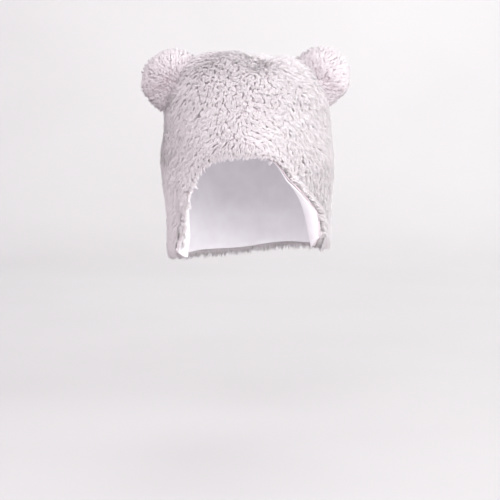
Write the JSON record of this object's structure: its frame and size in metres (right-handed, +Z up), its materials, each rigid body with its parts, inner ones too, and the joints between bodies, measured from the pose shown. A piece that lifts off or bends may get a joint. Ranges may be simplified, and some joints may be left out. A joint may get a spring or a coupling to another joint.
{
  "type": "baby hat with ears",
  "caption": "Plush baby helmet hat with round bear ears, a face opening and flaps over the ears and nape, lined with smooth jersey.",
  "frame": {"origin": "inside top of the crown, where the top of the head comes up against the lining, on the seam", "axes": "+Z up along the head, -Y out of the face opening, +X to the right of a viewer who faces the hat"},
  "size_m": [0.1961, 0.1758, 0.202],
  "materials": {
    "plush": "deep soft pile, light warm grey",
    "jersey": "smooth fine knit, near white with a lilac tint"
  },
  "bodies": {
    "root": {"front_panel": "plush", "back_panel": "plush", "ear_left": "plush", "ear_right": "plush", "lining": "jersey"}
  },
  "joints": []
}
